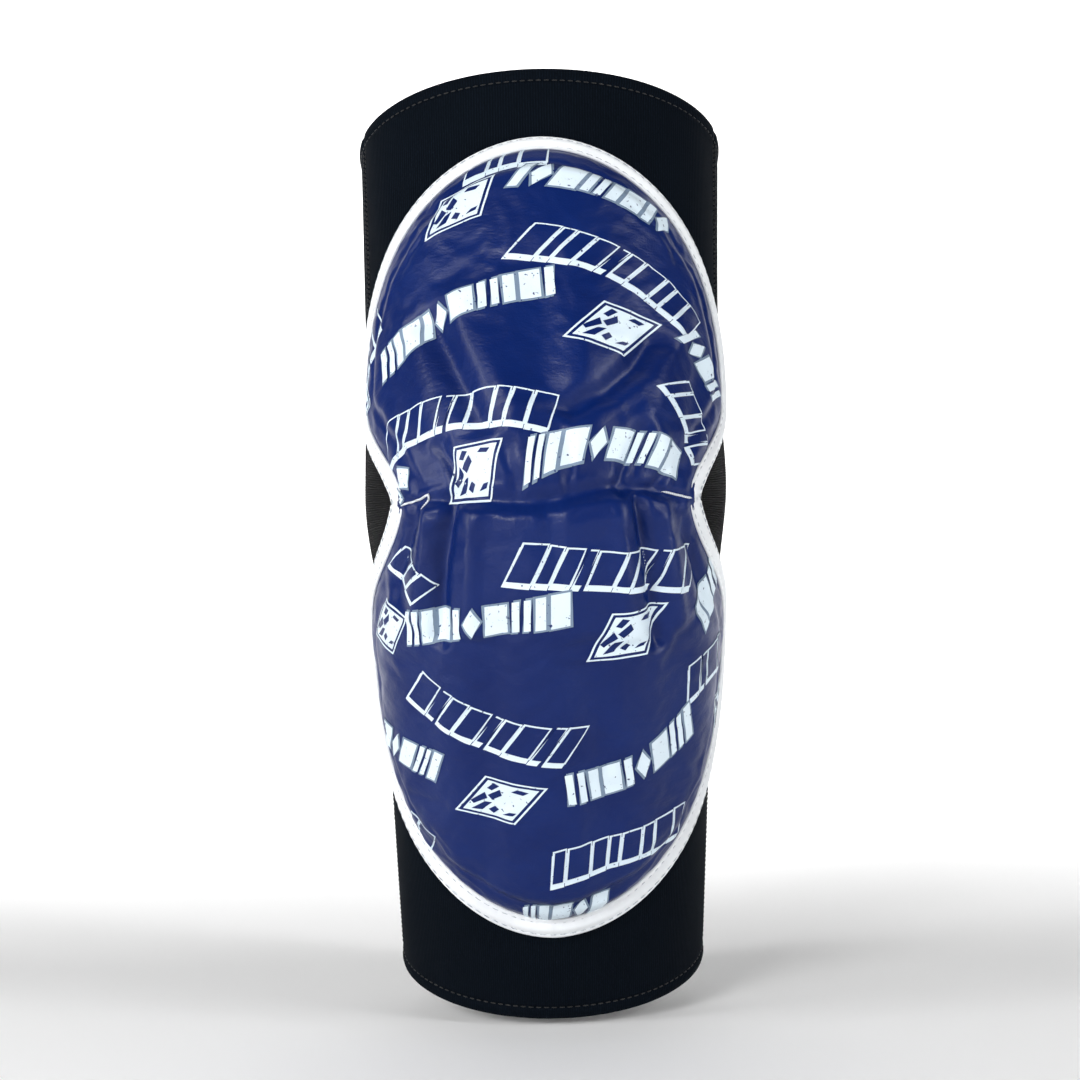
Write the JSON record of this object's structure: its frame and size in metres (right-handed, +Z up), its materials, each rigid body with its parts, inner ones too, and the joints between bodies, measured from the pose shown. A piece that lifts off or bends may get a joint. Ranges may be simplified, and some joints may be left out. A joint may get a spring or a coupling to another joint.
{
  "type": "elbow pad",
  "caption": "Slip-on padded elbow guard: stretch sleeve with a knit elbow band and a two-lobed padded front cover that flexes at its waist seam.",
  "frame": {"origin": "middle of the elbow opening, on the sleeve's axis and level with the pad's waist seam", "axes": "+Z up along the arm towards the shoulder end, -Y out through the pad, +X to the right seen from the pad's side"},
  "size_m": [0.1149, 0.1417, 0.2873],
  "materials": {
    "jersey": "fine ribbed stretch jersey, matte",
    "rib_knit": "coarse black rib knit",
    "navy_leather": "navy synthetic leather, fine grain, satin gloss",
    "white_leather": "white synthetic leather binding, satin",
    "backing_cloth": "woven backing cloth",
    "soft_foam": "open cell foam",
    "dense_foam": "closed cell foam",
    "black_thread": "polyester thread",
    "grey_thread": "grey polyester thread",
    "white_thread": "thick white thread",
    "print_ink": "pale blue-white screen print"
  },
  "bodies": {
    "upper": {"elbow_knit_band": "rib_knit", "upper_back_panel": "jersey", "upper_backing": "backing_cloth", "upper_binding": "white_leather", "upper_binding_inner_thread": "grey_thread", "upper_binding_outer_thread": "grey_thread", "upper_cover": "navy_leather", "upper_cushion_foam": "soft_foam", "upper_front_panel": "jersey", "upper_hem_thread": "black_thread", "upper_impact_foam": "dense_foam", "upper_side_seam_threads": "black_thread", "waist_seam_thread": "black_thread", "waist_tacks": "white_thread"},
    "lower": {"lower_back_panel": "jersey", "lower_backing": "backing_cloth", "lower_binding": "white_leather", "lower_binding_inner_thread": "grey_thread", "lower_binding_outer_thread": "grey_thread", "lower_cover": "navy_leather", "lower_cushion_foam": "soft_foam", "lower_front_panel": "jersey", "lower_hem_thread": "black_thread", "lower_impact_foam": "dense_foam", "lower_side_seam_threads": "black_thread"}
  },
  "joints": [
    {"name": "elbow_bend", "type": "hinge", "parent": "upper", "child": "lower", "pos_m": [0, -0.038, 0], "axis": [1, 0, 0], "range_deg": [-38, 40], "stiffness_Nm_per_rad": 0.8, "deforming": ["elbow_knit_band"]}
  ]
}
